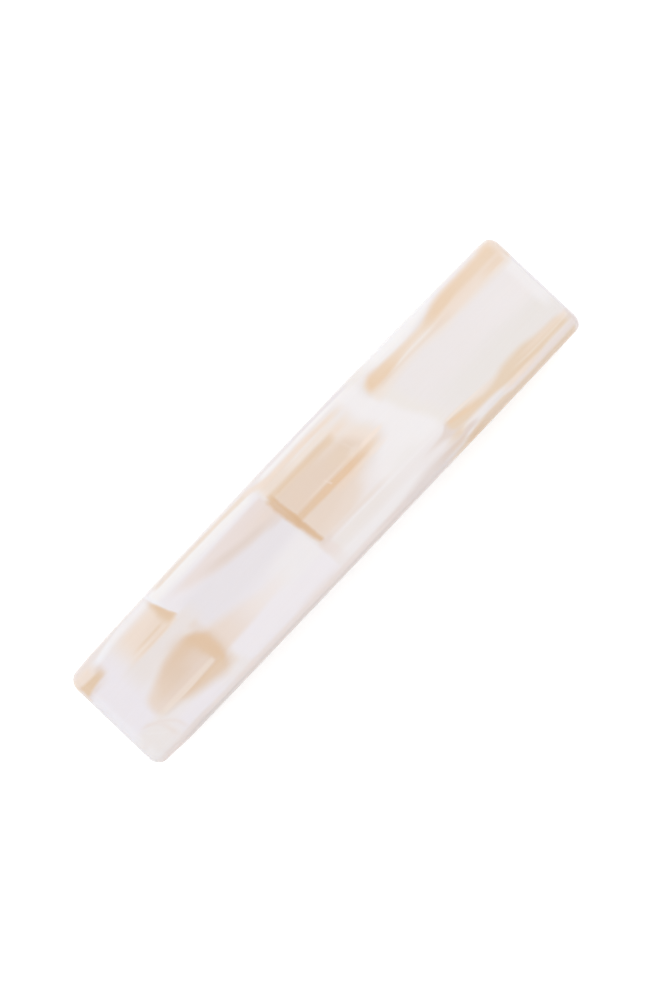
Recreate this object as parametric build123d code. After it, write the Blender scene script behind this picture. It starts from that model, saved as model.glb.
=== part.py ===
from build123d import *
import os
from math import asin, degrees, sin, sqrt

# A rectangular hair barrette, lying as it would on a table: an arched bar of
# polished cellulose acetate, with a closed steel clasp under it that carries it.
# +X runs along the bar, +Y across it, +Z up. The origin is on the table, under the
# middle of the bar. Every size is in millimetres.

# The bar
bar_length = 100.0        # overall, from one rounded end to the other
bar_width = 21.0
bar_thickness = 3.2
bar_arch_radius = 130.0   # of the top face, seen from the side
bar_corner_radius = 2.4   # of the four corners, seen from above
bar_face_round = 1.3      # along the edge of the top face
bar_back_round = 0.8      # along the edge of the underside

# The clasp: a base strip under the bar, two ears at each end, and an arm below
glue_line = 0.05          # between the bar and the base strip
clasp_length = 78.0       # of the base strip, end to end
strip_thickness = 0.8     # of the base strip and of the ears
base_width = 9.0
base_corner_radius = 1.5
ear_length = 6.0          # along the bar
ear_drop = 5.5            # from the base strip's underside at its ends to the table
ear_corner_radius = 1.2   # of the two lower corners of an ear

# The hinge end, at -X
pin_diameter = 1.6
pin_proud = 0.35          # of each ear's outer face
eye_diameter = 3.0        # of the arm's rolled end, round the pin
eye_foot_clearance = 0.5  # from the table up to the eye

# The arm, and the catch at +X that holds it
arm_thickness = 0.8
arm_side_gap = 0.7        # from the arm to the ears beside it
arm_rise = 1.8            # of the arm's middle above its two held places
arm_tab_length = 4.0      # of the thumb tab, past the catch ears
arm_corner_radius = 2.0   # of the thumb tab's two corners
catch_length = 2.6        # of each catch lug, along the bar
catch_height = 0.8
catch_lap = 1.0           # of each lug under the arm
weld = 0.1                # by which joined shapes run into each other

# The arch: one centre for the bar and for the base strip
bar_back_radius = bar_arch_radius - bar_thickness
base_top_radius = bar_back_radius - glue_line
base_under_radius = base_top_radius - strip_thickness
clasp_half = clasp_length / 2
base_sag = base_under_radius - sqrt(base_under_radius**2 - clasp_half**2)
arch_centre_z = ear_drop + base_sag - base_under_radius
crown_z = arch_centre_z + bar_arch_radius

# The arm's places
ear_outside = base_width / 2
ear_inside = ear_outside - strip_thickness
ear_middle_x = clasp_half - ear_length / 2
arm_width = 2 * (ear_inside - arm_side_gap)
pin_z = eye_foot_clearance + eye_diameter / 2
arm_radius = (ear_middle_x**2 + arm_rise**2) / (2 * arm_rise) + arm_thickness / 2
arm_centre_z = pin_z + arm_rise + arm_thickness / 2 - arm_radius
tab_end_x = clasp_half + arm_tab_length


def arched_strip(centre_z, radius, thickness, width, x_from, x_to):
    """A strip bent round the Y axis; radius is its top's, and x_from and x_to are at its top."""
    start = degrees(asin(x_from / radius))
    end = degrees(asin(x_to / radius))
    top = CenterArc((0, centre_z), radius, 90 - end, end - start)
    under = CenterArc((0, centre_z), radius - thickness, 90 - end, end - start)
    ends = [Line(top @ k, under @ k) for k in (0, 1)]
    side = Plane.XZ * make_face([top, under, *ends])
    return extrude(side, width / 2, both=True)


def corner_edges(strip, x_from=0.0):
    """The short edges through a strip's thickness at its corners, those past x_from if it is given."""
    short = strip.edges().filter_by(GeomType.LINE).sort_by(SortBy.LENGTH)[:4]
    return [edge for edge in short if x_from == 0.0 or edge.center().X > x_from]


def bar_half_angle():
    """From the crown to an end face, so that the rounded end reaches half the bar's length."""
    round_centre_radius = bar_arch_radius - bar_face_round
    reach = bar_length / 2 - bar_face_round
    return asin(reach / round_centre_radius) + asin(bar_face_round / round_centre_radius)


def broad_face(bar, side):
    """One of the bar's two large faces: its top or its underside."""
    underside, top = bar.faces().sort_by(SortBy.AREA)[-2:].sort_by(Axis.Z)
    return top if side == "top" else underside

def make_bar():
    """The arched bar, with rounded corners, and softer edges on its face than on its back."""
    end_x = bar_arch_radius * sin(bar_half_angle())
    bar = arched_strip(arch_centre_z, bar_arch_radius, bar_thickness, bar_width, -end_x, end_x)
    bar = fillet(corner_edges(bar), bar_corner_radius)
    bar = fillet(broad_face(bar, "top").edges(), bar_face_round)
    return fillet(broad_face(bar, "underside").edges(), bar_back_round)


def base_strip():
    """The strip under the bar, which follows its arch."""
    strip = arched_strip(arch_centre_z, base_top_radius, strip_thickness, base_width,
                         -clasp_half, clasp_half)
    return fillet(corner_edges(strip), base_corner_radius)


def ear(x, side):
    """One ear: a flat plate from the base strip down to the table, with two rounded lower corners."""
    height = base_top_radius + arch_centre_z
    plate = Pos(x, height / 2) * Rectangle(ear_length, height)
    plate = fillet(plate.vertices().group_by(Axis.Y)[0], ear_corner_radius)
    under_strip = Pos(0, arch_centre_z) * Circle(base_top_radius - strip_thickness / 2)
    plate = Plane.XZ * (plate & under_strip)
    y = side * (ear_outside - strip_thickness / 2)
    return Pos(0, y, 0) * extrude(plate, strip_thickness / 2, both=True)


def across(diameter, length, x, z):
    """A round bar along Y, centred on the barrette."""
    return Pos(x, 0, z) * Rot(90, 0, 0) * Cylinder(diameter / 2, length)


def arm():
    """The arm from the hinge to its thumb tab, with its rolled end."""
    strip = arched_strip(arm_centre_z, arm_radius, arm_thickness, arm_width, -ear_middle_x, tab_end_x)
    strip = fillet(corner_edges(strip, x_from=clasp_half), arm_corner_radius)
    return strip + across(eye_diameter, arm_width, -ear_middle_x, pin_z)


def catch_lug(side):
    """A lug that stands in from a catch ear and holds the arm's edge from below."""
    sag = (arm_radius - arm_thickness) - sqrt((arm_radius - arm_thickness)**2 - ear_middle_x**2)
    top = arm_centre_z + arm_radius - arm_thickness - sag + weld
    length_y = ear_inside + weld - (arm_width / 2 - catch_lap)
    y = side * (ear_inside + weld - length_y / 2)
    return Pos(ear_middle_x, y, top - catch_height / 2) * Box(catch_length, length_y, catch_height)


def make_clasp():
    """The whole clasp as one closed piece."""
    clasp = base_strip() + arm()
    clasp += across(pin_diameter, base_width + 2 * pin_proud, -ear_middle_x, pin_z)
    for side in (-1, 1):
        clasp += ear(-ear_middle_x, side)
        clasp += ear(ear_middle_x, side)
        clasp += catch_lug(side)
    return clasp


os.makedirs("parts", exist_ok=True)
export_step(make_bar(), "parts/acetate_bar.step")
export_step(make_clasp(), "parts/clasp.step")
print(f"crown at {crown_z:.2f} mm, arm {arm_width:.2f} mm wide")
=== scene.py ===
import math

import bpy
import numpy as np
from mathutils import Matrix, Vector


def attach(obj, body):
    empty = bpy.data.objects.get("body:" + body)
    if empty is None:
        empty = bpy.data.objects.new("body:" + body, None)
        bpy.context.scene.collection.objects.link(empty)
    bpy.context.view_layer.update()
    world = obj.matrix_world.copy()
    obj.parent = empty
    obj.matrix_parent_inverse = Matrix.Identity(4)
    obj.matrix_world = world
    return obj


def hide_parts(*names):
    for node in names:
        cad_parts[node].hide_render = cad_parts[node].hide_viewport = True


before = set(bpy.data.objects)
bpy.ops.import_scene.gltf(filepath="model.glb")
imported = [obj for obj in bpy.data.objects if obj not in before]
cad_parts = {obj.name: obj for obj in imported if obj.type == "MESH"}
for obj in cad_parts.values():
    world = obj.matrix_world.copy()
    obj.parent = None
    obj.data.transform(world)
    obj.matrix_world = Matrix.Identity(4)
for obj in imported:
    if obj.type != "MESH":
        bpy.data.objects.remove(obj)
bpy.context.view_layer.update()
mm = 0.001


# Shader maths: a wrapped socket, with Python's own operators on it

class Link:
    def __init__(self, tree, socket):
        self.tree = tree
        self.socket = socket

    # any node: its settings first, then the values or links of its sockets
    def node(self, kind, settings=None, inputs=None, out=0):
        made = self.tree.nodes.new(kind)
        for name, value in (settings or {}).items():
            if name == "points":
                setCurve(made, value)
            else:
                setattr(made, name, value)
        for key, value in (inputs or {}).items():
            if isinstance(value, Link):
                self.tree.links.new(value.socket, made.inputs[key])
            else:
                made.inputs[key].default_value = value
        return Link(self.tree, made.outputs[out])

    # a Math node
    def sum(self, operation, *values):
        return self.node("ShaderNodeMath", {"operation": operation}, dict(enumerate(values)))

    def __add__(self, other):
        return self.sum("ADD", self, other)

    def __radd__(self, other):
        return self.sum("ADD", other, self)

    def __sub__(self, other):
        return self.sum("SUBTRACT", self, other)

    def __rsub__(self, other):
        return self.sum("SUBTRACT", other, self)

    def __mul__(self, other):
        return self.sum("MULTIPLY", self, other)

    def __rmul__(self, other):
        return self.sum("MULTIPLY", other, self)

    # this link into one of a node's own inputs
    def into(self, node, name):
        self.tree.links.new(self.socket, node.inputs[name])


# A Float Curve through points given in their own units, level before the first and after the last
def setCurve(node, points):
    node.mapping.use_clip = False
    node.mapping.extend = "HORIZONTAL"
    line = node.mapping.curves[0]
    for place, height in points[1:-1]:
        line.points.new(place, height)
    for point, (place, height) in zip(line.points, points):
        point.location = (place, height)
        point.handle_type = "AUTO_CLAMPED"
    node.mapping.update()


# A new material and its shader
def newMaterial(name):
    material = bpy.data.materials.new(name)
    material.use_nodes = True
    return material, material.node_tree.nodes["Principled BSDF"]


# Values that are the same all over, on the shader's own sockets
def setSockets(shader, values):
    for name, value in values.items():
        shader.inputs[name].default_value = value


# The place on a piece, in millimetres
def placeOn(material):
    tree = material.node_tree
    place = Link(tree, tree.nodes.new("ShaderNodeTexCoord").outputs["Object"])
    return place.node("ShaderNodeVectorMath", {"operation": "SCALE"}, {0: place, "Scale": 1 / mm})


# A vector's three parts
def partsOf(vector):
    split = vector.tree.nodes.new("ShaderNodeSeparateXYZ")
    vector.into(split, 0)
    return [Link(vector.tree, socket) for socket in split.outputs]


# A smooth step from 0 at one value to a height at another; the first may be the larger
def stepBetween(value, low, high, height=1.0):
    return value.node("ShaderNodeMapRange", {"interpolation_type": "SMOOTHSTEP", "clamp": False},
                      {"Value": value, "From Min": low, "From Max": high, "To Max": height})


# A smooth step up across a limit, within a soft width each side; a negative width steps down
def stepAt(value, limit, soft, height=1.0):
    if isinstance(limit, Link):
        value, limit = value - limit, 0.0
    return stepBetween(value, limit - soft, limit + soft, height)


# The height at a place, on a straight line through two points or a smooth one through more
def lineThrough(place, points):
    if not isinstance(points, list):
        return points
    if len(points) > 2:
        return place.node("ShaderNodeFloatCurve", {"points": points}, {"Value": place})
    (first, low), (last, high) = points
    slope = (high - low) / (last - first)
    return place.sum("MULTIPLY_ADD", place, slope, low - slope * first)


# The first colour, with a share of the second over it
def mixColour(share, first, second):
    return share.node("ShaderNodeMix", {"data_type": "RGBA"}, {0: share, 6: first, 7: second}, out=2)


# Noise from 0 to 1, with so many cells to a millimetre each way
def noiseOf(place, cells, detail=2.0, roughness=0.5, shift=(0, 0, 0)):
    moved = place.node("ShaderNodeMapping", {}, {"Vector": place, "Location": shift, "Scale": cells})
    return place.node("ShaderNodeTexNoise", {}, {"Vector": moved, "Scale": 1.0, "Detail": detail,
                                                 "Roughness": roughness})


# A noise as a swing of up to an amount each way
def swingOf(place, noise, amount):
    return (noiseOf(place, *noise) - 0.5) * (2 * amount)


# A normal for a relief given in millimetres
def bumpOf(height):
    return height.node("ShaderNodeBump", {}, {"Height": height, "Distance": mm, "Strength": 1.0})


# The acetate bar: a flat slab bent on an arch, with a rounded rectangle for its plan

bar = {
    "archRadius": 130.0,     # of the top face
    "crown": 15.74,          # height of the top face over the table
    "halfLength": 51.84,     # along the arch, to where the end face meets the top's circle
    "halfWidth": 10.5,
    "thickness": 3.2,
    "corner": 2.25,          # of the plan
    "faceRound": (2.2, 1.3),     # of the top's edge: how far in, and how far down
    "backRound": 0.8,
    # where its outline was sanded: the side, from where to where along it, and how far in (or out,
    # where it is negative)
    "drawnIn": [(-1, -43, -49.5, 0.27), (1, -45, -50, 0.12),
                (-1, 49.6, 51.2, -0.25), (1, 49.9, 51.2, -0.12)],
    "cellsAlong": 200,
    "cellsAcross": 40,
    "cellsRound": 8,
}


# The outline of a rectangle with rounded corners, one side at a time, each from the middle of a corner
# to the middle of the next: a share of the way along the side gives the point on it.
def outlineSide(count, halfLong, halfWide, corner):
    turn = 5                                        # cells in half a corner
    half = np.linspace(0, math.pi / 4, turn + 1)
    straight = np.linspace(-1, 1, count - 2 * turn + 1)[1:-1]
    ends = (halfLong - corner) + corner * np.sin(math.pi / 4 - half)
    drop = corner * (1 - np.cos(math.pi / 4 - half))
    long = np.concatenate([-ends, (halfLong - corner) * straight, ends[::-1]])
    wide = np.concatenate([halfWide - drop, np.full(len(straight), halfWide), halfWide - drop[::-1]])
    return long, wide


# The four sides of the plan, drawn in by an inset, as points (along, across)
def planSides(slab, inset):
    halfLong, halfWide = slab["halfLength"] - inset, slab["halfWidth"] - inset
    corner = slab["corner"] - inset
    long, wide = outlineSide(slab["cellsAlong"], halfLong, halfWide, corner)
    tall, reach = outlineSide(slab["cellsAcross"], halfWide, halfLong, corner)
    low = np.stack([long, -wide], 1)                # along +long
    right = np.stack([reach, tall], 1)              # along +wide
    high = np.stack([long, wide], 1)
    left = np.stack([-reach, tall], 1)
    return low, right, high, left


# A face filled in from its four sides: each point is the sum of the two straight blends between
# opposite sides, less the blend of the four corners (a Coons patch)
def filledFace(slab, inset):
    low, right, high, left = planSides(slab, inset)
    u = np.linspace(0, 1, len(low))[:, None, None]
    v = np.linspace(0, 1, len(right))[None, :, None]
    across = (1 - v) * low[:, None] + v * high[:, None]
    along = (1 - u) * left[None] + u * right[None]
    corners = ((1 - u) * (1 - v) * low[0] + u * (1 - v) * low[-1]
               + (1 - u) * v * high[0] + u * v * high[-1])
    return across + along - corners


# The slab's section from its top face round to its underside, as (inset, depth): a quarter of an
# ellipse, the straight side, and a quarter circle
def edgeProfile(slab):
    turn = np.linspace(0, math.pi / 2, slab["cellsRound"] + 1)
    (inward, down), back, deep = slab["faceRound"], slab["backRound"], slab["thickness"]
    over = np.stack([inward * (1 - np.sin(turn)), down * (1 - np.cos(turn))], 1)
    rows = 4                                        # cells down the straight side
    side = np.linspace(down, deep - back, rows + 1)[1:-1]
    straight = np.stack([0 * side, side], 1)
    under = np.stack([back * (1 - np.cos(turn)), deep - back * (1 - np.sin(turn))], 1)
    return np.concatenate([over, straight, under])


# A closed slab in its own flat places (along, across, depth), with its faces: the top, the rings of
# the edge, and the underside, which share the outline's points
def slabMesh(slab):
    profile = edgeProfile(slab)
    top, under = filledFace(slab, profile[0, 0]), filledFace(slab, profile[-1, 0])
    rows, columns = top.shape[:2]
    index = np.arange(rows * columns).reshape(rows, columns)
    loop = np.concatenate([index[:-1, 0], index[-1, :-1], index[:0:-1, -1], index[0, :0:-1]])
    flat = [np.concatenate([top.reshape(-1, 2), np.full((index.size, 1), profile[0, 1])], 1)]
    rings = [loop]
    start = index.size
    for inset, depth in profile[1:-1]:
        low, right, high, left = planSides(slab, inset)
        ring = np.concatenate([low[:-1], right[:-1], high[:0:-1], left[:0:-1]])
        flat.append(np.concatenate([ring, np.full((len(ring), 1), depth)], 1))
        rings.append(start + np.arange(len(ring)))
        start += len(ring)
    flat.append(np.concatenate([under.reshape(-1, 2), np.full((index.size, 1), profile[-1, 1])], 1))
    rings.append(start + loop)
    quads = [gridQuads(index), gridQuads(start + index)[:, ::-1]]
    for outer, inner in zip(rings[:-1], rings[1:]):
        quads.append(np.stack([outer, inner, np.roll(inner, -1), np.roll(outer, -1)], 1))
    return np.concatenate(flat), np.concatenate(quads)


# The four-sided faces between the points of a grid, from the grid of their numbers
def gridQuads(index):
    return np.stack([index[:-1, :-1], index[1:, :-1], index[1:, 1:], index[:-1, 1:]], -1).reshape(-1, 4)


# The sanded outline: each entry draws one side's edge in a little, by a smooth step along the bar
# between two places, and in proportion to the distance across
def sanded(flat, slab):
    drawn = flat.copy()
    for side, start, end, amount in slab["drawnIn"]:
        share = np.clip((flat[:, 0] - start) / (end - start), 0, 1)
        outward = np.clip(side * flat[:, 1] / slab["halfWidth"], 0, 1)
        drawn[:, 1] -= side * amount * outward * share * share * (3 - 2 * share)
    return drawn


# Bends flat places on an arch: the angle is the length along over the radius, and the depth
# shortens the radius
def bentOn(flat, radius, crown):
    angle = flat[:, 0] / radius
    reach = radius - flat[:, 2]
    return np.stack([reach * np.sin(angle), flat[:, 1], crown - radius + reach * np.cos(angle)], 1)


# A smooth-shaded mesh from points in millimetres and lists of faces
def newPiece(name, points, faces, material):
    mesh = bpy.data.meshes.new(name)
    mesh.from_pydata((points * mm).tolist(), [], [face for part in faces for face in part.tolist()])
    mesh.polygons.foreach_set("use_smooth", np.ones(len(mesh.polygons), bool))
    mesh.update()
    piece = bpy.data.objects.new(name, mesh)
    bpy.context.scene.collection.objects.link(piece)
    mesh.materials.append(material)
    return piece


# The marbled acetate

acetate = {
    "lightLevel": (1.204, 1.194, 1.194),    # how bright a white top face shows
    "gloss": 0.045,          # what the polish adds
    "roughness": 0.13,
    "uneven": 0.03,          # by which the roughness goes up and down
    "grainShare": 0.05,      # of the grain's tint, on average
    "wander": (0.3, 0.16),   # mm by which the streaks waver, along and across
    "slant": (0.5, 0.35),    # mm by which they lean over, along and across, for each mm down
    "waves": 0.010,          # mm of the polished face's slow unevenness
    "polish": 0.0012,        # mm of the fine lines that the polishing left
    # its noises: cells to a mm (along, across, down), then detail, roughness and shift
    "waverAlong": ((0.3, 0.5, 0.5), 2.0, 0.5, (40, 7, 3)),
    "waverAcross": ((0.12, 0.5, 0.5), 3.0),
    "grain": ((0.1, 3.0, 2.0), 3.0, 0.6),
    "dullness": ((0.4, 0.4, 0.4), 3.0),
    "swell": ((0.12, 0.2, 0.2), 2.0),
    "lines": ((0.5, 11.0, 7.0), 2.0),
    "sockets": {             # of the shader, the same all over
        "IOR": 1.48,
        "Subsurface Weight": 0.25,
        "Subsurface Radius": (1.0, 0.85, 0.7),
        "Subsurface Scale": 0.8 * mm,
    },
}

# what each tint shows as, in sRGB, on the lit top face
tints = {
    "pearl": (238, 232, 232),
    "blush": (241, 235, 235),
    "haze": (235, 230, 227),
    "oat": (239, 233, 228),
    "milk": (243, 239, 240),
    "mist": (240, 236, 237),
    "ice": (244, 244, 249),
    "white": (245, 242, 242),
    "lilac": (239, 234, 238),
    "greyLilac": (233, 228, 232),
    "violet": (238, 233, 239),
    "warmGrey": (236, 229, 226),
    "roseGrey": (235, 227, 225),
    "rose": (235, 222, 218),
    "deepRose": (227, 212, 205),
    "mauve": (226, 214, 211),
    "cream": (241, 229, 220),
    "biscuit": (241, 224, 211),
    "sand": (234, 215, 200),
    "clay": (231, 211, 195),
    "honey": (237, 213, 189),
    "amber": (235, 207, 178),
    "toffee": (232, 211, 189),
    "tan": (232, 208, 184),
    "fawn": (228, 206, 188),
    "ochre": (230, 203, 174),
    "umber": (227, 197, 168),
    "brown": (220, 184, 148),
    "rust": (231, 199, 169),
    "butter": (247, 231, 219),
    "apricot": (242, 217, 197),
    # painted shade: a grey laid over the rounded rims and one corner, where they turn from the light
    "paintedShade": (213, 210, 209),
    "grain": (214, 190, 176),
}

# The streaks, laid one over another, in millimetres along and across the bar. Each row is a streak's
# tint and how much of it is mixed in, its start and end, the widths over which those two fade, its top
# and low edge, and how soft they are. A start, end or edge is a value or a line through a few points,
# and None is an edge that lies off the bar.
streaks = [
    # the right-hand block
    ("blush", 0.7, 38, 53, (8, 1), 4.5, [(38, -0.6), (46, -1.9), (52, -2.2)], (3, 0.8)),
    ("haze", 0.8, 25, 52, (5, 1), -1.4, -6, (2, 1)),
    ("milk", 1, 48.8, 53, (1, 1), 5.4, -4, (0.8, 2)),
    ("oat", 0.7, [(-6, 21.5), (-3, 21), (-1, 20), (1, 19), (5, 17.6)],
     [(-6, 24), (-3, 23.5), (1, 21.8), (5, 21)], (0.5, 1.5), 5.5, -4.8, (1, 0.6)),
    # the white seam that slants between the blocks
    ("milk", 0.95, [(-6, 8), (-3, 9.5), (-1, 12), (1, 15), (3, 14.3), (5, 13.2), (10, 12.5)],
     [(-7, 22), (-4.5, 22), (-3, 21.6), (-1, 20.5), (1, 19.5), (3, 18.8), (5, 17.9), (7, 16.6), (9, 17.2)],
     (1.8, 1.1), 10.9, -5.2, (0.5, 1.2)),
    # the centre block
    ("mist", 0.8, -3.4, 14, (1, 2), -7.4, -9.6, (0.6, 0.6)),
    ("warmGrey", 0.8, -3.6, 9.5, (0.4, 4), -5.4, -7.1, (0.3, 0.8)),
    ("cream", 1, -5.8, 12, (0.8, 2.6), [(-4, 9.08), (4, 9.1), (10, 8.83)], 6.8, (0.4, 0.5)),
    ("biscuit", 1, -5, 11, (0.8, 3), [(-4, 8.9), (4, 8.92), (10, 8.7)], [(-4, 8.12), (4, 8.22), (10, 8)],
     (0.3, 0.25)),
    ("mist", 0.45, 8.6, 13, (1.2, 1.5), 7.8, 7, (0.3, 0.3)),
    ("blush", 0.45, 1, 9, (3, 4), 8.2, 7.75, (0.15, 0.3)),
    ("sand", 0.4, -5, 0.3, (0.8, 2.5), 8.3, 7, (0.3, 0.4)),
    ("white", 0.85, -4, 14, (1, 3), 9.78, 9.3, (0.15, 0.25)),
    ("greyLilac", 0.9, -6, 17, (1, 2), None, [(4, 9.9), (10, 9.75)], (0.3, 0.15)),
    ("sand", 0.75, -5, [(-4, 4.7), (-3, 6.3), (-1.5, 8.4), (0, 10.8), (1, 12)], (0.3, 3.2), 1.1, -4.3,
     (0.4, 0.6)),
    ("clay", 0.5, -5, [(-4, -1), (-2, 2.5), (0, 8), (1, 10.5)], (0.3, 3.8), 1.2, -3, (0.4, 1.5)),
    ("cream", 0.8, [(1, 10), (5.5, 8)], [(1, 14.6), (3, 14), (5, 12.8), (7, 12.4)], (0.8, 1.6), 7.1, 1.3,
     (0.5, 0.5)),
    ("biscuit", 0.7, 9, [(1, 13.4), (3, 12.6), (5, 11)], (0.5, 1.8), 4.8, 0.4, (0.9, 0.5)),
    ("clay", 1, -5, [(1, 11.4), (3, 10.6), (4, 9.9), (5.6, 8.4)], (0.3, 1.5), 5.9, 1.2, (0.5, 0.4)),
    ("toffee", 0.4, 5, 9, (2, 1), 4, 1.9, (0.6, 0.5)),
    ("cream", 0.35, 4.5, 9.6, (3, 1), 5.5, 4.5, (0.3, 0.6)),
    ("biscuit", 0.9, 8, 11.2, (0.5, 1.8), 6.8, 5.7, (0.5, 0.5)),
    ("tan", 0.95, -5.5, 8.5, (0.3, 0.9), [(-4, 6.95), (3, 6.85), (8, 6.7)], [(-4, 5.7), (3, 5.6), (8, 5.4)],
     (0.45, 0.5)),
    ("umber", 0.3, -4, 6.5, (0.6, 3), 6.4, 5.9, (0.3, 0.3)),
    ("biscuit", 0.45, -0.5, 9.5, (3.5, 1.5), 2.05, 1.6, (0.3, 0.25)),
    ("biscuit", 0.75, 7.3, 11.5, (0.8, 1.6), 0.1, -0.5, (0.2, 0.4)),
    ("honey", 0.7, 5, 13.2, (2, 2.4), 1.3, [(5, 0), (8, 0.1), (12, 0.15), (15, 0.35)], (0.5, 0.5)),
    ("umber", 0.9, -5, 3, (0.3, 3), [(-5, 1.5), (5, 1.4)], [(-5, 0.35), (5, 0.1)], (0.35, 0.35)),
    ("rust", 1, 0, [(0.2, 8.5), (0.8, 10.2), (1.6, 8.5)], (3, 3.2), [(-5, 1.5), (5, 1.4), (14, 1.1)],
     [(0, 0.28), (3, 0.18), (6, 0.08), (10, -0.02), (15, 0.3)], (0.35, 0.35)),
    ("honey", 0.6, 6.8, 10.8, (1.5, 1), 1.8, 1.4, (0.2, 0.25)),
    ("butter", 0.7, 10.4, 15, (1.3, 1), 1.95, 1.3, (0.2, 0.2)),
    ("biscuit", 0.5, [(0.8, 3), (2.4, 2.4)], [(0.8, 3.4), (2.4, 2.7)], (0.2, 0.2), 2.3, 0.9, (0.3, 0.2)),
    ("cream", 0.3, [(1.5, 9.6), (4.5, 8.6)], [(1.5, 9.9), (4.5, 8.9)], (0.4, 0.3), 4.2, 2, (0.5, 0.5)),
    ("cream", 0.4, 8.2, 10.4, (0.8, 0.8), 2.5, 1.45, (0.4, 0.15)),
    ("butter", 0.45, 10.6, 14, (1, 1.2), 0.1, -0.6, (0.25, 0.3)),
    ("apricot", 0.4, 2.8, 8, (1, 1.5), 0.1, -0.9, (0.2, 0.5)),
    ("umber", 0.3, 8.4, 10.4, (0.8, 0.9), 0.7, 0.15, (0.2, 0.2)),
    ("clay", 0.38, -4.7, 9, (0.4, 5), -4.3, -5, (0.4, 0.3)),
    ("white", 0.35, 0, 21, (4, 3), [(-3, -5), (21, -5.3)], [(-3, -5.3), (21, -5.6)], (0.3, 0.3)),
    ("haze", 0.35, 11.5, 17, (2.5, 2), -3.6, -5, (0.9, 0.5)),
    ("blush", 0.5, 7, 14, (2, 2.5), -1.6, -3.8, (1.2, 0.8)),
    # the right-hand streaks
    ("white", 0.95, 19.5, [(8.5, 30), (10, 36.5)], (2.6, 2.5), None, [(20, 9.05), (24, 8.36), (30, 8.3)],
     (0.3, 0.95)),
    ("ice", 0.45, 20, 51, (3, 0.5), None, 9.7, (0.3, 0.3)),
    ("oat", 0.5, 15.5, 20.5, (2, 2), 10.1, 9.2, (0.15, 0.2)),
    ("cream", 0.9, 17.8, 51, (0.9, 1), 8,
     [(18, 4.5), (21, 4.8), (28, 5.5), (34, 4.9), (38, 5.1), (52, 5.1)], (0.5, 0.9)),
    ("amber", 1, [(6, 17.7), (7.5, 17.9), (9, 18.9)], [(6, 24), (8, 27)], (1.1, 4),
     [(17.5, 8), (19.5, 8.45), (22, 8.05), (25, 7.75), (30, 7.5)],
     [(17.5, 6.3), (21, 6.2), (25, 6.7), (30, 7.1)], (0.95, 0.7)),
    ("biscuit", 0.9, 48, 51, (1, 0.4), 9.9, 6.6, (0.4, 0.6)),
    ("honey", 0.95, 20, 49.9, (3, 1.1),
     [(18, 8.2), (24, 8), (30, 7.95), (33, 8.45), (36, 9.2), (42, 9.45), (52, 9.75)],
     [(18, 6.3), (25, 7), (30, 7.2), (34, 6.7), (38, 6.9), (52, 7.1)], (0.7, 0.65)),
    ("biscuit", 0.8, 32.5, 50, (2, 0.9), [(32, 6.9), (35, 7.1), (39, 7.6)], [(32, 6), (36, 5.7), (52, 5.7)],
     (0.5, 0.6)),
    ("amber", 0.5, 32.3, 41, (1.5, 5), [(32, 8.3), (36, 9.1), (42, 9.4)], [(32, 7.5), (36, 7.5), (42, 8.3)],
     (0.5, 0.4)),
    ("amber", 0.1, 42, 49.6, (3, 1), 9.6, 8.6, (0.4, 0.5)),
    ("honey", 0.55, 45.5, 49.8, (2.5, 0.6), 7.1, 6, (0.4, 0.3)),
    ("cream", 0.3, 24, 33, (2, 2), 8.2, 7, (0.4, 0.4)),
    ("white", 0.35, 23.5, 33, (1.5, 3), [(23, 6.4), (27, 6.8), (33, 6.9)],
     [(23, 6.1), (27, 6.5), (33, 6.6)], (0.2, 0.2)),
    ("sand", 0.5, 19, 36, (2, 3), [(19, 6.2), (25, 6.3), (31, 6.3), (36, 6.6)],
     [(19, 5.5), (25, 5.9), (31, 5.8), (36, 5.4)], (0.3, 0.4)),
    ("deepRose", 0.8, 18, 24, (3, 0.8), [(16, -6.5), (20, -6.42), (21.2, -6.2), (22.2, -5.5)],
     [(16, -7), (20, -7.2), (22, -7.9)], (0.35, 0.45)),
    ("toffee", 0.85, 21, 24.5, (2, 1.2), [(20, -7.7), (24, -7.6), (27, -7.8)],
     [(20, -8.9), (24, -8.7), (27, -8.3)], (0.4, 0.4)),
    ("toffee", 1, 22.4, [(-8.5, 50.6), (-5, 48)], (0.6, 1.4),
     [(22, -5.4), (25, -5.5), (28, -5.9), (30.5, -6.4), (33, -6.3), (36, -5.7), (40, -5.6), (44, -6.2),
      (52, -6.5)],
     [(22, -6.8), (24, -7.6), (27, -7.75), (31, -7.8), (35, -8.4), (38, -8.75), (42, -8.6), (46, -8.38),
      (52, -8.45)], (0.8, 0.5)),
    ("amber", 0.75, 22.9, 28, (0.5, 2.5), [(23, -5.6), (28, -6.2)], [(23, -6.2), (28, -7.2)], (0.3, 0.4)),
    ("biscuit", 0.6, 40, 51, (4, 1), [(41, -6.5), (52, -6.7)], [(41, -7.1), (52, -7.5)], (0.4, 0.4)),
    ("cream", 0.45, 38, 51, (2.5, 1), [(36, -7), (40, -7.3), (52, -7.35)],
     [(36, -7.4), (40, -7.65), (52, -7.65)], (0.2, 0.2)),
    ("ochre", 0.35, 35, 43, (2, 4), [(35, -7.6), (42, -7.8), (52, -7.85)],
     [(35, -8), (42, -8.2), (52, -8.25)], (0.25, 0.25)),
    ("cream", 1, 22.8, 31, (0.4, 3), [(22, -5), (26, -5.2), (30, -5.5)],
     [(22, -5.4), (26, -5.55), (30, -5.85)], (0.18, 0.18)),
    ("biscuit", 0.45, 27, 33, (1, 2), -5.8, -6.4, (0.2, 0.4)),
    ("cream", 0.55, 23.6, 28, (0.8, 1.5), [(23, -7.9), (28, -8)], [(23, -8.2), (28, -8.3)], (0.25, 0.25)),
    ("pearl", 0.7, 25.8, 34.5, (1.2, 2), [(25, -8.3), (30, -8.05), (35, -8.7)],
     [(25, -8.9), (30, -8.8), (35, -9.1)], (0.3, 0.3)),
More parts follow.
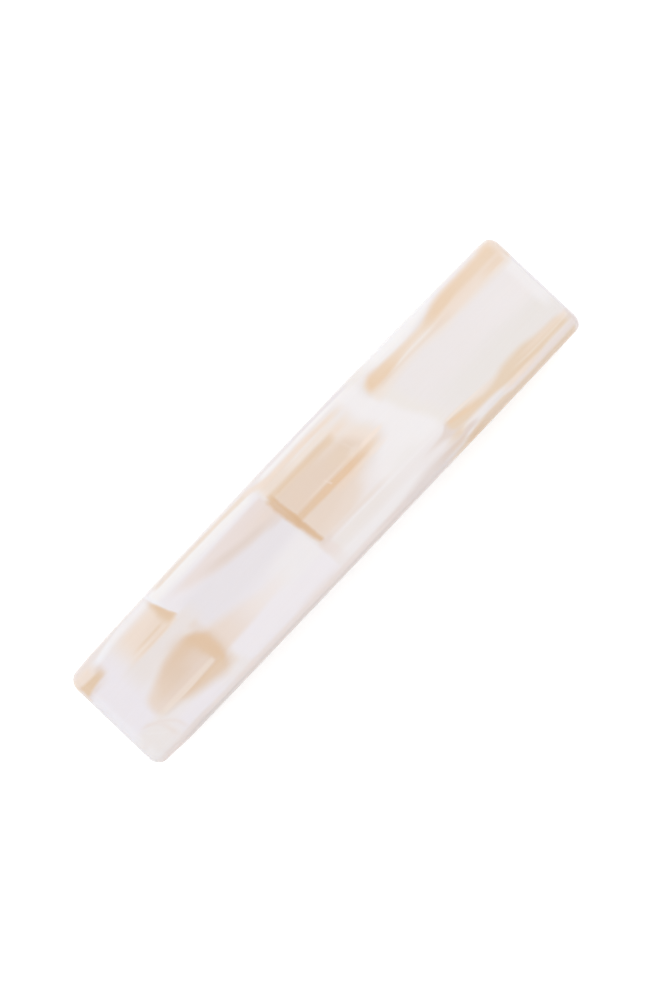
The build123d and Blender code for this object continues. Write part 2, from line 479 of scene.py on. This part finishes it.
    # painted shade: a little grey where the -Y rim begins to turn down
    ("paintedShade", 0.18, 29, 35, (2, 1.5), -8.5, -9.1, (0.3, 0.2)),
    ("rose", 0.75, 34, 51, (2, 1), -8.6, -9.7, (0.4, 0.4)),
    ("biscuit", 0.9, 33.5, 41, (1.5, 3), -8.3, -9, (0.3, 0.4)),
    ("mauve", 0.64, 5, 22, (4, 5), [(3, -9.5), (9, -9), (15, -8.35), (20, -8.2)], None, (0.7, 0.5)),
    ("deepRose", 0.95, 17, 26.5, (3, 1.5), [(17, -8.7), (22, -8.7), (25, -8.3), (28, -8.6)],
     [(17, -9.7), (22, -9.4), (25, -9.1), (28, -9.2)], (0.3, 0.3)),
    # painted shade: mauve along the steep outer part of the -Y rim, which faces away from the light
    ("mauve", 0.7, -51, 12, (0.5, 4), -10.1, None, (0.15, 0.5)),
    ("fawn", 0.5, 20, 23.6, (1.5, 0.8), -8.9, -9.75, (0.3, 0.2)),
    ("toffee", 0.85, 20, 50.2, (3, 0.6),
     [(20, -10.1), (22, -10), (24, -9.62), (27, -9.22), (32, -9.2), (35, -9.65), (52, -9.6)], None,
     (0.4, 0.3)),
    ("brown", 0.35, 23.6, 27.5, (1.2, 2), [(22, -9.95), (24, -9.6), (28, -9.6)], None, (0.25, 0.3)),
    ("fawn", 0.4, 27, 49.6, (2, 0.7), [(28, -9.2), (32, -9.4), (36, -9.8), (52, -9.95)], None, (0.3, 0.3)),
    ("greyLilac", 0.8, 51, 53, (0.15, 0.5), 5.5, None, (1, 1)),
    ("mauve", 0.5, 50.6, 53, (0.2, 0.5), -6.8, None, (0.5, 0.5)),
    ("deepRose", 0.6, 50, 51.1, (0.4, 0.12), -7.6, -8.4, (0.3, 0.2)),
    ("sand", 0.6, 50.8, 53, (0.2, 0.5), 10, 5.5, (0.5, 0.6)),
    # the middle left block
    ("lilac", 1, [(-10, -26), (-6, -27), (-3, -28), (4, -30), (10, -31)],
     [(-5, -5.4), (0, -5.8), (2, -6.2), (10, -6.4)], (1, 0.4), 10, -9.4, (0.5, 0.5)),
    ("greyLilac", 0.95, -28, -5.6, (2, 0.6), [(-28, 5.4), (-15, 5), (-6, 4.6)],
     [(-28, -1), (-14, -1.5), (-6, -0.4)], (1.2, 2)),
    ("mist", 0.8, -14, -5.6, (3, 0.4), -0.8, -5.5, (1.5, 0.8)),
    ("white", 0.95, -30.3, -6.8, (0.3, 1.8), 9.9, 8.15, (0.3, 0.75)),
    ("rose", 0.8, -26.5, [(4, -6), (8, -6.3)], (3.5, 0.4), [(-28, 7.7), (-22, 7.5), (-6, 7.75)],
     [(-28, 6.9), (-24, 5.8), (-20, 4.9), (-15, 4.1), (-10, 3.6), (-6, 3.1)], (0.6, 0.9)),
    ("rose", 0.6, -17, [(4, -6), (8, -6.3)], (4, 0.4), 7.6, 4.5, (0.4, 0.6)),
    ("sand", 0.38, -11, -6.2, (4, 0.4), 6.2, 4, (1.2, 0.7)),
    ("deepRose", 0.9, -20, -8, (3.5, 2.5), [(-22, 6.6), (-20, 6.3), (-15, 5.4), (-10, 4.8), (-7, 4.5)],
     [(-22, 5.3), (-20, 4.9), (-15, 4.1), (-10, 3.6), (-7, 3.4)], (0.7, 0.8)),
    ("deepRose", 0.4, -8.8, -6.2, (1.4, 0.3), 4.2, 2.7, (0.5, 0.4)),
    ("sand", 0.75, -28.5, -20.5, (0.5, 6), [(-28, -0.2), (-25, -0.9), (-22, -1.4), (-15, -2.4)],
     [(-28, -5.05), (-23, -4.9), (-15, -4.7)], (1.2, 0.6)),
    ("cream", 0.35, -21, -13, (2, 2.5), -2.4, -4.6, (0.9, 0.6)),
    ("tan", 0.56, -28.6, -7, (1, 1.5), [(-31, 10.02), (-22, 9.99), (-15, 9.87), (-7, 9.78)],
     [(-31, 9.52), (-22, 9.5), (-15, 9.4), (-7, 9.1)], (0.2, 0.2)),
    ("warmGrey", 0.4, -28.4, -19, (0.8, 4), None, 9.72, (0.2, 0.15)),
    ("roseGrey", 0.9, [(-4, -5.3), (1, -6.2)], [(-4, -4.4), (1, -5.4)], (0.5, 0.3), 1.5, -6, (1, 2)),
    # painted shade along the -Y rim, which faces away from the light: a rose band, partly the acetate's own
    # pinkish edge, then a grey and a mauve laid darker over the curve
    ("rose", 0.68, -30, 9, (4, 3), -9.15, None, (0.4, 0.5)),
    ("paintedShade", 0.22, -30, 8, (3, 4), -10.08, None, (0.12, 0.5)),
    ("mauve", 0.35, 3, 16, (2, 3), -9.1, -9.68, (0.25, 0.12)),
    ("rose", 0.3, -14, -6, (3, 3), -8.5, -9.4, (0.4, 0.4)),
    ("biscuit", 0.7, -7.5, -3.4, (1, 1.2), [(-8, 10), (-6, 9.7), (-4.5, 9.3), (-3, 9.1)],
     [(-8, 9.4), (-6, 8.8), (-4.5, 8.3), (-3, 8.2)], (0.3, 0.4)),
    ("brown", 0.82, [(-4.4, -4.55), (-2, -5.24), (0, -5.46), (3, -6.04), (7, -6.24)],
     [(-4.4, -3.84), (-2, -4.1), (0, -4.18), (1.2, -4.24), (3, -4.55), (7, -4.67)], (0.48, 0.34), 6.3, -4.6,
     (0.6, 0.4)),
    ("ochre", 0.3, -6.3, -4.8, (0.3, 0.3), 6.8, 5.5, (0.5, 0.8)),
    ("brown", 0.5, [(-1, -5.4), (2.4, -5.8)], [(-1, -4.2), (2.4, -4.45)], (0.45, 0.3), 3, -0.8, (1.4, 1.4)),
    ("rose", 0.8, -5.2, -3.2, (0.5, 0.6), -4.2, -7.4, (0.3, 1.6)),
    ("deepRose", 0.35, -4.9, -2.6, (0.4, 0.8), -4.1, -5.1, (0.3, 0.4)),
    # the left-hand block
    ("violet", 0.85, -52, -42, (1, 3), 8.5, -4.2, (1.5, 1)),
    ("ice", 0.45, -53, -49.3, (0.5, 1), 5, -5.4, (1, 1)),
    ("violet", 0.8, -43, -32, (2, 3), -6.7, -9.3, (1, 0.5)),
    # painted shade on the rims of this block: the rose and mauve along the -Y rim, partly the acetate's own
    # pinkish edge, then the grey rows on the -Y rim, the +Y rim and the -Y corner of the end
    ("rose", 0.58, -50, -28, (2, 5), -9.25, None, (0.4, 0.5)),
    ("mauve", 0.35, -43, -37, (2, 2), -9.05, None, (0.3, 0.5)),
    ("paintedShade", 0.4, -43, -29, (3, 3), -10.05, None, (0.15, 0.5)),
    ("paintedShade", 0.35, -41.5, -35.5, (1.5, 1.5), None, 9.95, (0.3, 0.15)),
    ("paintedShade", 0.5, -51.2, -50.5, (0.3, 0.2), -8.4, -9.7, (0.3, 0.2)),
    ("mist", 0.85, -51, -48.8, (0.5, 0.9), -6.8, -9.2, (0.7, 0.4)),
    ("ice", 0.8, -45, -38, (1, 5), [(-46, 8.95), (-44, 9.2), (-41, 9.65)], [(-46, 8.2), (-41, 8.8)],
     (0.35, 0.5)),
    ("rose", 0.6, -50, -43.5, (1, 1.5), None, [(-50, 9.2), (-44, 9.45)], (0.3, 0.3)),
    ("roseGrey", 0.95, -42.5, -27, (2.5, 2), 4.5, 0.6, (0.4, 1.6)),
    ("milk", 0.8, -42, -31.6, (3, 0.6), 10, 8.8, (0.3, 0.5)),
    ("roseGrey", 0.85, -45, -33.5, (1.5, 3), None,
     [(-46, 9.3), (-44, 9.42), (-42, 9.62), (-40, 9.78), (-38, 9.92), (-34, 10.05)], (0.3, 0.22)),
    ("biscuit", 0.95, -40.2, [(4, -29.7), (10, -31)], (2.8, 0.3), 8.55, 4.05, (0.9, 0.5)),
    ("sand", 0.45, -37, -30.8, (4, 0.5), [(-38, 6), (-31, 7)], 4.4, (1, 0.4)),
    ("cream", 0.4, -40.2, -35.6, (1.5, 1.5), 4.98, 4.68, (0.15, 0.2)),
    ("tan", 0.7, -38, -32, (2.5, 1), 5.6, 5.15, (0.25, 0.2)),
    ("tan", 0.4, -38.5, -31.5, (2.5, 1), 4.55, 4.15, (0.2, 0.3)),
    ("ochre", 0.8, [(4.5, -31.2), (6, -31.6), (8, -31.5), (10, -31.3)],
     [(4.5, -29.1), (5.2, -29.36), (6.5, -29.9), (8, -30.5), (10, -31.1)], (0.8, 0.3), 9.1, 4.6,
     (0.9, 0.45)),
    ("umber", 0.6, [(4.5, -30.7), (7, -31.1), (9, -31.4)], [(4.5, -29.3), (7, -30.2), (9, -30.95)],
     (0.6, 0.3), 8, 4.9, (1, 0.5)),
    ("ice", 0.6, [(6, -29.4), (8, -30.2), (10, -31)], [(6, -29.2), (8, -29.8), (10, -30.4)], (0.2, 0.4), 11,
     7.4, (0.3, 1)),
    ("fawn", 1,
     [(-6, -39.6), (-4.8, -41.6), (-3.4, -42.9), (-2, -42.3), (-0.5, -40.6), (0.7, -38.6), (1.6, -36)],
     [(-7.4, -29.3), (-6, -28.1), (-4.5, -27.6), (-3, -27.4), (-1.5, -27.5), (0, -28.3), (1.6, -30.2)],
     (2.4, 1.4),
     [(-45, -2.1), (-43, -1.1), (-40.5, 0), (-38, 0.75), (-35.5, 1.2), (-33, 1.5), (-30.5, 1.2),
      (-28, 0.2)],
     [(-45, -4.8), (-43, -5.2), (-40.5, -5.4), (-38, -6), (-35.5, -6.5), (-33, -6.95), (-30.5, -7.4),
      (-28, -7)], (1.6, 1.1)),
    ("sand", 0.8, -44, -40, (1.3, 4), [(-44, -1.4), (-40, -0.3)], -5, (1, 0.6)),
    ("umber", 0.5, -38, -29.6, (5, 1.2), [(-42, -0.6), (-38, 0.4), (-35, 0.9), (-32, 1.1), (-29, 0.4)],
     [(-42, -1.6), (-38, -0.9), (-34, -1), (-30, -1.4)], (0.9, 1.6)),
    ("umber", 0.95, [(-6, -29.9), (-4, -30.4), (-2, -30.9), (0, -31.6), (1.5, -32.6)],
     [(-6.5, -28.9), (-4, -28.1), (-2, -28), (0, -28.9), (1.3, -30.2)], (1.3, 0.9), 0.9, -5.8, (0.9, 1.4)),
    ("rose", 0.2, -34.5, -31, (1.5, 0.8), -1.2, -3.6, (1, 0.6)),
    ("fawn", 0.35, -29.6, -27.6, (0.8, 0.8), 2, -0.1, (0.5, 0.6)),
    ("fawn", 0.4, -30, -27.4, (0.8, 0.8), -6, -7.5, (0.6, 0.6)),
    ("rose", 0.3, -43.6, -30.6, (1, 0.6), -3, -4.3, (0.7, 0.3)),
    ("cream", 0.6, -43, -30.3, (2, 0.4), -4.05, [(-42, -5.1), (-38, -5.12), (-34, -4.9), (-30, -4.8)],
     (0.3, 0.2)),
    ("deepRose", 0.4, -43.4, -40, (0.8, 1.5), [(-43, -4.9), (-40, -5)], [(-43, -5.4), (-40, -5.8)],
     (0.25, 0.35)),
    ("umber", 0.5, -37, -28.8, (3, 0.6), -5.1, -5.5, (0.15, 0.4)),
    ("ochre", 0.35, -36, -29.3, (3, 0.6), -5.2, [(-38, -5.6), (-30, -6.6)], (0.3, 0.6)),
    ("warmGrey", 0.35, -49.4, -43, (0.9, 2), -4.3, -8.4, (0.5, 0.7)),
    ("rose", 0.6, [(-8.6, -44.6), (-6.2, -45), (-5.2, -45.6), (-4, -48.2)],
     [(-8.6, -43.6), (-6.2, -44.1), (-5.2, -44.7), (-4, -46.6)], (0.5, 0.5), -3.9, -8.4, (0.4, 0.8)),
    ("rose", 0.55, [(-9, -42.2), (-7, -42.9), (-5, -45.2)], [(-9, -41.6), (-7, -42.2), (-5, -44.5)],
     (0.5, 0.5), -4.8, -8.8, (0.4, 0.8)),
    ("milk", 0.3, [(-7, -45.9), (-5, -48.2)], [(-7, -45.5), (-5, -47.7)], (0.4, 0.4), -4.8, -7, (0.4, 0.4)),
    ("milk", 0.2, [(-8, -43.6), (-5, -45.4)], [(-8, -43.1), (-5, -45)], (0.4, 0.4), -5, -8, (0.4, 0.5)),
    ("biscuit", 0.9, -53, -46.3, (0.5, 1.4), 9.5, 7.3, (0.6, 0.4)),
    ("rose", 0.6, -51, -46.2, (0.5, 1.5), 6.9, 5.5, (0.3, 0.5)),
    ("mauve", 0.35, -49.3, -47.7, (0.4, 0.6), 6.2, 5.6, (0.2, 0.3)),
    ("ochre", 0.9, -50.7, -45.6, (0.3, 0.8), [(-51, 7.95), (-48, 7.76), (-46.5, 7.68), (-45, 7.55)],
     [(-51, 5.9), (-48, 6.36), (-45.5, 6.6)], (0.38, 0.38)),
    ("brown", 0.12, -49.2, -46.4, (0.6, 0.7), 7.6, 6.6, (0.4, 0.4)),
    ("fawn", 0.5, -46.6, -44.9, (0.6, 0.9), 8.3, 6.4, (0.5, 0.5)),
    ("greyLilac", 0.9, -53, -50.85, (0.5, 0.2), 5.5, None, (1, 1)),
    ("sand", 0.55, -53, -50.6, (0.5, 0.2), 8.6, 5, (0.5, 0.4)),
    # what shows on the -Y side alone
    ("milk", 0.75, -49, -27, (3, 7), [(-49, -10.95), (-27, -11.25)], None, (0.15, 0.3)),
    ("sand", 0.6, -34, -12, (5, 6), [(-34, -11.3), (-12, -11)], None, (0.2, 0.3)),
    ("ice", 0.6, -16, 8, (5, 6), [(-16, -10.85), (8, -11)], [(-16, -11.15), (8, -11.4)], (0.12, 0.15)),
    ("cream", 0.7, 2, 19, (5, 3), [(2, -11.25), (19, -10.9)], None, (0.2, 0.3)),
    ("biscuit", 0.75, 24, 53, (4, 1), [(24, -11.2), (53, -10.8)], None, (0.2, 0.3)),
    ("milk", 0.6, 34, 53, (4, 1), [(34, -11.4), (53, -11.1)], None, (0.12, 0.3)),
]


# The acetate's colour: a pearl ground, and each streak mixed over it where its four edges allow; the rows
# marked as painted shade darken the rims
def marblingAndPaintedShade(along, across):
    lit = {name: shownAs(colour) for name, colour in tints.items()}
    colour = lit["pearl"]
    for tint, mix, start, end, fade, top, low, soft in streaks:
        share = stepAt(along, lineThrough(across, start), fade[0], mix)
        share = share * stepAt(along, lineThrough(across, end), -fade[1])
        if top is not None:
            share = share * stepAt(across, lineThrough(along, top), -soft[0])
        if low is not None:
            share = share * stepAt(across, lineThrough(along, low), soft[1])
        colour = mixColour(share, colour, lit[tint])
    return colour


# The paint that shows as an sRGB colour on the lit top face: the colour as light, by the sRGB curve,
# less the gloss, over the level of the light
def shownAs(colour):
    linear = [((channel / 255 + 0.055) / 1.055) ** 2.4 for channel in colour]
    paint = [(channel - acetate["gloss"]) / level for channel, level in zip(linear, acetate["lightLevel"])]
    return tuple(paint) + (1.0,)


# The pattern reads the flat slab: the angle on the arch gives the way along, and the distance from the
# arch's axis the depth
def acetateMaterial():
    material, shader = newMaterial("marbled_acetate")
    x, y, z = partsOf(placeOn(material))
    radius = bar["archRadius"]
    fromAxis = z + (radius - bar["crown"])
    along = x.sum("ARCTAN2", x, fromAxis) * radius
    depth = radius - x.sum("SQRT", x * x + fromAxis * fromAxis)
    flat = x.node("ShaderNodeCombineXYZ", {}, {0: along, 1: y, 2: depth})
    wanderAlong, wanderAcross = acetate["wander"]
    slantAlong, slantAcross = acetate["slant"]
    across = y - depth * slantAcross + swingOf(flat, acetate["waverAcross"], wanderAcross)
    along = along + depth * slantAlong + swingOf(flat, acetate["waverAlong"], wanderAlong)
    grain = swingOf(flat, acetate["grain"], acetate["grainShare"]) + acetate["grainShare"]
    mixColour(grain, marblingAndPaintedShade(along, across), shownAs(tints["grain"])).into(shader, "Base Color")
    rough = swingOf(flat, acetate["dullness"], acetate["uneven"]) + acetate["roughness"]
    rough.into(shader, "Roughness")
    height = noiseOf(flat, *acetate["swell"]) * acetate["waves"]
    height = height + noiseOf(flat, *acetate["lines"]) * acetate["polish"]
    bumpOf(height).into(shader, "Normal")
    setSockets(shader, acetate["sockets"])
    return material


material = acetateMaterial()
print("acetate material", len(material.node_tree.nodes), "nodes")
flat, quads = slabMesh(bar)
points = bentOn(sanded(flat, bar), bar["archRadius"], bar["crown"])
acetateBar = newPiece("acetate_bar_polished", points, [quads], material)
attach(acetateBar, "root")
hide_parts("acetate_bar")
print("acetate bar", len(quads), "faces")


# The clasp's steel: nickel plate, brushed along its strips

steel = {
    "light": (0.70, 0.685, 0.665, 1.0),
    "dark": (0.56, 0.545, 0.53, 1.0),
    "darkTo": 0.35,          # the noises' mean up to which it is dark
    "lightFrom": 0.65,
    "fineShare": 0.4,        # of the finest lines in the brushing
    "roughness": 0.23,
    "roughBrushed": 0.22,    # the spread of roughness that the brushing gives
    "roughCloud": 0.10,
    "brushed": 0.004,        # mm of the brushing's relief
    "waves": 0.03,           # mm of the slow unevenness of stamped sheet
    # its noises, as the acetate's
    "cloud": ((0.25, 0.5, 0.5), 4.0, 0.6),
    "lines": ((0.35, 9.0, 9.0), 3.0, 0.7),
    "fine": ((1.2, 26.0, 26.0), 2.0, 0.6, (3, 5, 8)),
}


# Clouds and brushed lines together give the colour, the roughness and the relief
def steelMaterial():
    material, shader = newMaterial("satin_nickel_steel")
    place = placeOn(material)
    cloud = noiseOf(place, *steel["cloud"])
    lines = noiseOf(place, *steel["lines"])
    fine = noiseOf(place, *steel["fine"])
    brushed = lines * (1 - steel["fineShare"]) + fine * steel["fineShare"]
    share = stepBetween((cloud + brushed) * 0.5, steel["darkTo"], steel["lightFrom"])
    mixColour(share, steel["dark"], steel["light"]).into(shader, "Base Color")
    lowest = steel["roughness"] - (steel["roughBrushed"] + steel["roughCloud"]) / 2
    rough = brushed * steel["roughBrushed"] + cloud * steel["roughCloud"] + lowest
    rough.into(shader, "Roughness")
    bumpOf(brushed * steel["brushed"] + cloud * steel["waves"]).into(shader, "Normal")
    setSockets(shader, {"Metallic": 1.0})
    return material


# The base strip, a slab bent on the same arch as the bar, just under it

base = {
    "archRadius": 126.75,    # of its top
    "crown": 12.49,
    "halfLength": 39.643,    # along the arch
    "halfWidth": 4.5,
    "thickness": 0.8,
    "corner": 1.5,
    "faceRound": (0.62, 0.62),   # as its ears are folded down out of it
    "backRound": 0.12,
    "cellsAlong": 120,
    "cellsAcross": 20,
    "cellsRound": 6,
}


# How far each point of a path lies along it: the sum of the steps before it
def wayAlong(path):
    steps = np.diff(path, axis=0)
    return np.concatenate([[0], np.cumsum(np.hypot(steps[:, 0], steps[:, 1]))])


# A path's points again, at even steps along it
def densePath(path, step=0.05):
    length = wayAlong(path)
    place = np.linspace(0, length[-1], int(length[-1] / step) + 2)
    return np.stack([np.interp(place, length, row) for row in path.T], 1)


# Carries a slab along a path of points (out, up): the way along picks a point, and the depth is set off
# from the sheet's outer face along the path's left-hand normal
def carriedAlong(slab, path):
    length = wayAlong(path)
    tangent = np.gradient(path, length, axis=0)
    tangent = tangent / np.linalg.norm(tangent, axis=1)[:, None]
    flat, quads = slabMesh({**slab, "halfLength": length[-1] / 2})
    place = flat[:, 0] + length[-1] / 2
    out, up, dOut, dUp = (np.interp(place, length, row) for row in (*path.T, *tangent.T))
    offset = slab["thickness"] / 2 - flat[:, 2]
    return out - dUp * offset, flat[:, 1], up + dOut * offset, quads


# The ears, two at each end, each a slab folded down from the strip's edge to the table

ear = {
    "places": (-36.0, 36.0),     # of their middles along the bar
    "outside": 4.5,              # from the middle of the bar to an ear's outer face
    "halfWidth": 3.0,            # along the bar
    "thickness": 0.78,
    "flap": 1.6,                 # length of the hidden part inside the strip
    "fold": 0.65,                # radius at the middle of the sheet
    "corner": 1.2,
    "faceRound": (0.14, 0.14),
    "backRound": 0.14,
    "cellsAlong": 44,
    "cellsAcross": 22,
    "cellsRound": 3,
    "pointsFold": 12,
}


# The fold's path is level inside the strip, a quarter turn, and straight down; each point's height is
# then a share of the strip's own height there, which the arch gives
def earMesh(slab, place, side):
    reach = slab["outside"] - slab["thickness"] / 2
    middleRadius = base["archRadius"] - base["thickness"] / 2
    centre = base["crown"] - base["archRadius"]
    top = math.sqrt(middleRadius ** 2 - place ** 2) + centre
    turn = np.linspace(0, math.pi / 2, slab["pointsFold"])
    fold = np.stack([reach - slab["fold"] * (1 - np.sin(turn)), top - slab["fold"] * (1 - np.cos(turn))], 1)
    path = np.concatenate([[(reach - slab["fold"] - slab["flap"], top)], fold, [(reach, 0)]])
    out, wide, up, quads = carriedAlong(slab, densePath(path))
    x = place - side * wide
    here = np.sqrt(middleRadius ** 2 - x ** 2) + centre
    return np.stack([x, side * out, here * (up / top)], 1), quads


# The arm below, from its end rolled round the hinge pin to the thumb tab past the catch

arm = {
    "held": 36.0,            # the pin and the catch, from the middle of the bar
    "height": 2.0,           # of the sheet's middle at both
    "rise": 1.8,             # of the bow between them
    "tabEnd": 43.0,
    "rollRadius": 1.1,       # at the middle of the sheet
    "rollStart": 15.0,       # degrees, where the rolled end begins
    "rollEnd": -270.0,       # and where it is over the pin
    "blend": 5.0,            # along the bar, from over the pin down into the bow
    "halfWidth": 3.0,
    "thickness": 0.8,
    "corner": 2.0,
    "faceRound": (0.2, 0.2),
    "backRound": 0.2,
    "cellsAlong": 340,
    "cellsAcross": 22,
    "cellsRound": 4,
    "pointsRolled": 120,
    "pointsOut": 900,
}


# The arm's path: clockwise round the pin from the rolled end to its top, then a smooth step down into
# the bow, an arc whose radius follows from its rise
def armMesh(slab):
    held, height, rise, roll = slab["held"], slab["height"], slab["rise"], slab["rollRadius"]
    angle = np.radians(np.linspace(slab["rollStart"], slab["rollEnd"], slab["pointsRolled"]))
    rolled = np.stack([-held + roll * np.cos(angle), height + roll * np.sin(angle)], 1)
    radius = (held ** 2 + rise ** 2) / (2 * rise)
    x = np.linspace(-held, slab["tabEnd"], slab["pointsOut"])[1:]
    bow = height + rise - radius + np.sqrt(radius ** 2 - x ** 2)
    share = np.clip((x + held) / slab["blend"], 0, 1)
    share = share * share * (3 - 2 * share)
    z = (height + roll) * (1 - share) + bow * share
    path = densePath(np.concatenate([rolled, np.stack([x, z], 1)]))
    out, wide, up, quads = carriedAlong(slab, path)
    return np.stack([out, wide, up], 1), quads


# The hinge pin, across the bar

pin = {
    "radius": 0.8,
    "halfLength": 4.85,
    "dome": 0.3,             # of its peened ends
    "cellsAround": 40,
    "cellsDome": 6,
}


# A profile of (reach, radius) turned round the hinge's axis, with a point at each end
def pinMesh(shape, place, height):
    turn = np.linspace(0, math.pi / 2, shape["cellsDome"] + 1)[1:]
    reach = shape["halfLength"] - shape["dome"] * (1 - np.cos(turn))
    radius = shape["radius"] * np.sin(turn)
    y = np.concatenate([-reach, reach[::-1]])
    r = np.concatenate([radius, radius[::-1]])
    count = shape["cellsAround"]
    around = np.arange(count) * (2 * math.pi / count)
    rings = np.stack([place + r[:, None] * np.cos(around), y[:, None] + 0 * around,
                      height + r[:, None] * np.sin(around)], -1).reshape(-1, 3)
    poles = np.array([(place, -shape["halfLength"], height), (place, shape["halfLength"], height)])
    index = np.arange(len(rings)).reshape(len(y), count)
    ahead = np.roll(index, -1, 1)
    sides = np.stack([index[:-1], index[1:], ahead[1:], ahead[:-1]], -1).reshape(-1, 4)
    near = np.stack([0 * index[0] + len(rings), index[0], ahead[0]], 1)
    far = np.stack([0 * index[-1] + len(rings) + 1, ahead[-1], index[-1]], 1)
    return np.concatenate([rings, poles]), sides, near, far


# The two lugs that reach in from the catch ears and hold the arm's edges from below

lug = {
    "place": 36.0,
    "from": 3.8,             # inside an ear
    "to": 2.0,
    "top": 1.698,
    "halfWidth": 1.3,
    "thickness": 0.8,
    "corner": 0.6,
    "faceRound": (0.18, 0.18),
    "backRound": 0.3,
    "cellsAlong": 18,
    "cellsAcross": 18,
    "cellsRound": 4,
}


# A lug's length runs across the bar, its width along it, and its depth down
def lugMesh(slab, side):
    middle, half = (slab["from"] + slab["to"]) / 2, (slab["from"] - slab["to"]) / 2
    flat, quads = slabMesh({**slab, "halfLength": half})
    x = slab["place"] - side * flat[:, 1]
    return np.stack([x, side * (middle + flat[:, 0]), slab["top"] - flat[:, 2]], 1), quads


# Each piece of the clasp stands, with the others, for the one closed clasp
def addClaspPiece(name, points, *faces):
    piece = newPiece(name, points, faces, claspSteel)
    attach(piece, "root")
    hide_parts("clasp")


claspSteel = steelMaterial()
hands = {"right": -1, "left": 1}     # and the side of the bar, as the sign of y
flat, quads = slabMesh(base)
addClaspPiece("clasp_base_strip", bentOn(flat, base["archRadius"], base["crown"]), quads)
for end, place in zip(("hinge", "catch"), ear["places"]):
    for hand, side in hands.items():
        addClaspPiece(f"clasp_{end}_ear_{hand}", *earMesh(ear, place, side))
addClaspPiece("clasp_arm", *armMesh(arm))
addClaspPiece("clasp_hinge_pin", *pinMesh(pin, -arm["held"], arm["height"]))
for hand, side in hands.items():
    addClaspPiece(f"clasp_catch_lug_{hand}", *lugMesh(lug, side))
print("clasp")


# The studio: a pale floor in a white room that is brighter overhead and on the +Y side

studio = {
    "white": (1.0, 1.0, 1.0, 1.0),
    "room": 1.0,                         # the light's level all round
    "brightSide": (0.10, 0.42, 0.90),    # towards the bright side
    "bright": 0.40,                      # what it adds
    "brightFrom": -0.2,                  # where that begins, as the cosine from the bright side
    "dim": 0.47,                         # what the far side lacks
    "dimFrom": 0.3,                      # the cosines where that begins and is full
    "dimFull": -0.7,
    "horizon": 1.0,                      # the even level low down
    "horizonHeight": 0.3,                # a sine, by which it has given way to the room's own
    "floorSize": 20.0,                   # m
    "floorPaint": (0.78, 0.775, 0.77, 1.0),
    "floorRoughness": 0.7,
    "floorGlow": 0.30,                   # of a table lit from below
}


# The room's light: its level, with a wide soft lobe on the bright side and a dip opposite, both
# fading into one even level at the horizon
def makeRoom():
    world = bpy.data.worlds.new("studio_room")
    world.use_nodes = True
    tree = world.node_tree
    way = Link(tree, tree.nodes.new("ShaderNodeTexCoord").outputs["Generated"])
    length = math.sqrt(sum(part ** 2 for part in studio["brightSide"]))
    side = tuple(part / length for part in studio["brightSide"])
    facing = way.node("ShaderNodeVectorMath", {"operation": "DOT_PRODUCT"}, {0: way, 1: side}, out=1)
    lobe = stepBetween(facing, studio["brightFrom"], 1.0, studio["bright"])
    dip = stepBetween(facing, studio["dimFrom"], studio["dimFull"], studio["dim"])
    level = lobe - dip + studio["room"]
    high = stepBetween(partsOf(way)[2], 0.0, studio["horizonHeight"])
    level = (level - studio["horizon"]) * high + studio["horizon"]
    level.into(tree.nodes["Background"], "Strength")
    setSockets(tree.nodes["Background"], {"Color": studio["white"]})
    bpy.context.scene.world = world


# The floor, one square under the table's height of zero
def makeFloor():
    material, shader = newMaterial("pale_floor")
    setSockets(shader, {"Base Color": studio["floorPaint"], "Roughness": studio["floorRoughness"],
                        "Emission Color": studio["white"], "Emission Strength": studio["floorGlow"]})
    half = studio["floorSize"] / 2
    corners = np.array([(-half, -half, 0), (half, -half, 0), (half, half, 0), (-half, half, 0)]) / mm
    newPiece("studio_floor", corners, [np.array([[0, 1, 2, 3]])], material)


makeRoom()
makeFloor()
print("studio")


# The camera, nearly overhead, turned so that the bar runs up to the right as in the photograph

view = {
    "place": (5.8, -7.1, 315.74),        # mm
    "target": (0.54, -0.06, 15.74),      # mm, the point in the middle of the picture
    "turn": 46.5,                        # degrees of the bar above the picture's horizontal
    "lens": 68.74,                       # mm, for the sensor's width
    "sensor": 36.0,
    "clipStart": 0.01,                   # m
}


# The line of sight runs from the place to the target, and the turn gives the picture's way up
def makeCamera():
    data = bpy.data.cameras.new("camera")
    data.lens = view["lens"]
    data.sensor_width = view["sensor"]
    data.clip_start = view["clipStart"]
    camera = bpy.data.objects.new("camera", data)
    place, target = Vector(view["place"]) * mm, Vector(view["target"]) * mm
    turn = math.radians(view["turn"])
    back = (place - target).normalized()
    right = Vector((math.sin(turn), math.cos(turn), 0)).cross(back).normalized()
    up = back.cross(right)
    camera.matrix_world = Matrix.Translation(place) @ Matrix((right, up, back)).transposed().to_4x4()
    bpy.context.scene.collection.objects.link(camera)
    bpy.context.scene.camera = camera
    bpy.context.scene.view_settings.view_transform = "Standard"


makeCamera()
print("camera")
